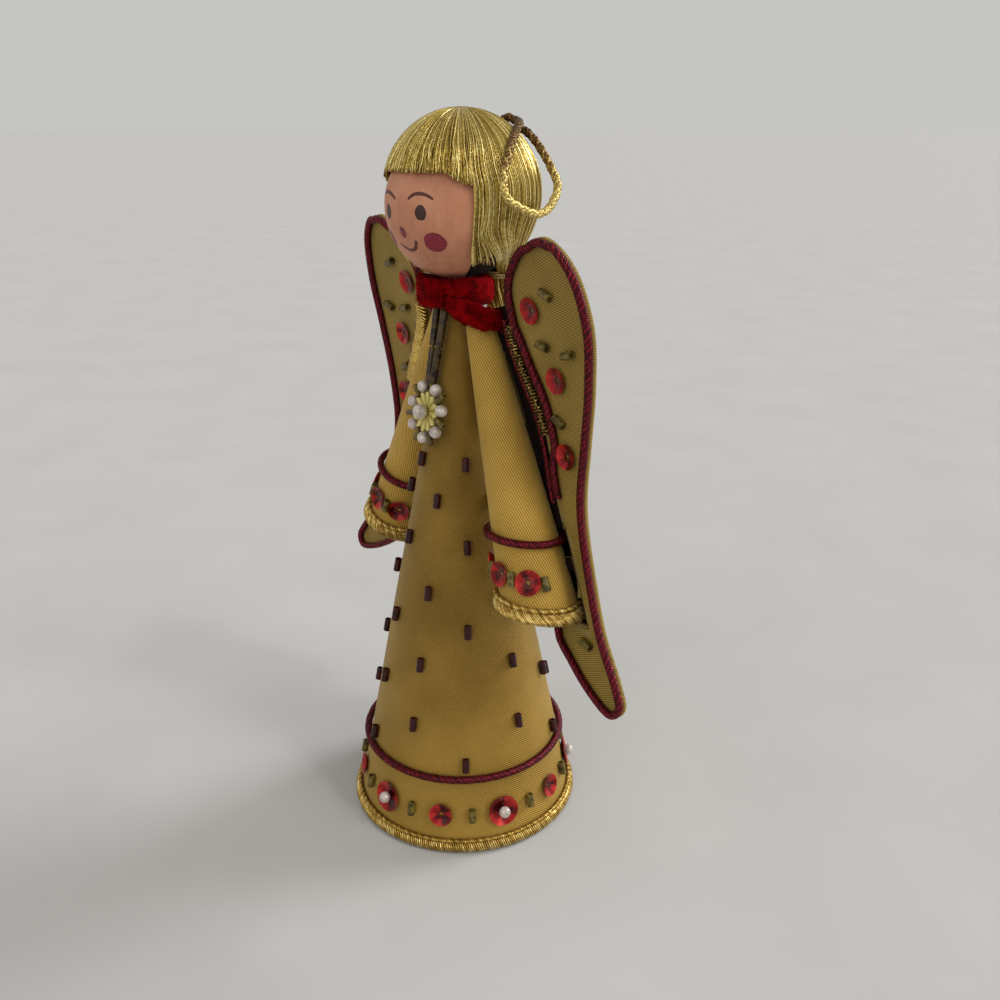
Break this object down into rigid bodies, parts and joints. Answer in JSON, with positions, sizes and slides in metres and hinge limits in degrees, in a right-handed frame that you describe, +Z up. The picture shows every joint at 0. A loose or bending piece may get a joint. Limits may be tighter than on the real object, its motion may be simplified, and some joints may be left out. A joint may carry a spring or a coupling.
{
  "type": "angel tree topper",
  "caption": "Cone-bodied fabric angel with a ball head, thread hair, corded wings and hanging sleeves; stands on its open base, fits over a tree's tip or hangs by a loop.",
  "frame": {"origin": "centre of the open base, on the surface it stands on", "axes": "+Z up along the cone, -Y the way the angel faces, +X towards its left hand"},
  "size_m": [0.1204, 0.0624, 0.1788],
  "materials": {
    "card": "matte",
    "gold_cloth": "satin",
    "wing_cloth": "satin",
    "red_cord": "satin",
    "gold_cord": "satin",
    "red_glass": "gloss",
    "bronze_glass": "gloss",
    "dark_glass": "gloss",
    "sequin": "gloss",
    "pearl": "gloss",
    "flower": "gloss",
    "wood": "matte",
    "painted_wood": "satin",
    "hair": "satin",
    "felt": "matte",
    "thread": "matte",
    "dark_thread": "matte"
  },
  "bodies": {
    "figure": {"body_card_cone": "card", "body_fabric_cover": "gold_cloth", "skirt_cord": "red_cord", "hem_cord": "gold_cord", "hem_fringe": "gold_cord", "skirt_bugle_beads": "red_glass", "hem_sequins_large": "sequin", "hem_sequins_small": "sequin", "hem_pearls": "pearl", "hem_bugle_beads": "bronze_glass", "neck_peg": "wood", "head_ball": "painted_wood", "hair_cap": "hair", "hair_tail": "hair", "hair_tie": "thread", "scarf_wrap": "felt", "scarf_tail": "felt", "shoulder_thread": "thread", "necklace_cord": "dark_thread", "wing_bridge": "gold_cloth", "wing_left_card": "card", "wing_left_front_fabric": "wing_cloth", "wing_left_back_fabric": "wing_cloth", "wing_left_edge_cord": "red_cord", "wing_left_gold_braid": "gold_cord", "wing_left_sequins": "sequin", "wing_left_beads": "bronze_glass", "wing_right_card": "card", "wing_right_front_fabric": "wing_cloth", "wing_right_back_fabric": "wing_cloth", "wing_right_edge_cord": "red_cord", "wing_right_gold_braid": "gold_cord", "wing_right_sequins": "sequin", "wing_right_beads": "bronze_glass", "hanging_loop": "gold_cord"},
    "sleeve_left": {"sleeve_left_card": "card", "sleeve_left_fabric": "gold_cloth", "sleeve_left_cord": "red_cord", "sleeve_left_cuff_cord": "gold_cord", "sleeve_left_cuff_fringe": "gold_cord", "sleeve_left_sequins": "sequin", "sleeve_left_bugle_beads": "bronze_glass"},
    "sleeve_right": {"sleeve_right_card": "card", "sleeve_right_fabric": "gold_cloth", "sleeve_right_cord": "red_cord", "sleeve_right_cuff_cord": "gold_cord", "sleeve_right_cuff_fringe": "gold_cord", "sleeve_right_sequins": "sequin", "sleeve_right_bugle_beads": "bronze_glass"},
    "pendant": {"necklace_strands": "dark_glass", "pendant_flower": "flower", "pendant_pearls": "pearl", "pendant_centre_pearl": "pearl", "pendant_bugle_beads": "bronze_glass"}
  },
  "joints": [
    {"name": "sleeve_left_swing", "type": "hinge", "parent": "figure", "child": "sleeve_left", "pos_m": [0.00729, 0.0016, 0.13209], "axis": [-1, 0, 0], "range_deg": [0, 20]},
    {"name": "sleeve_right_swing", "type": "hinge", "parent": "figure", "child": "sleeve_right", "pos_m": [-0.00729, 0.0016, 0.13209], "axis": [-1, 0, 0], "range_deg": [0, 20]},
    {"name": "pendant_swing", "type": "hinge", "parent": "figure", "child": "pendant", "pos_m": [0, -0.00447, 0.13469], "axis": [-1, 0, 0], "range_deg": [0, 60]}
  ]
}
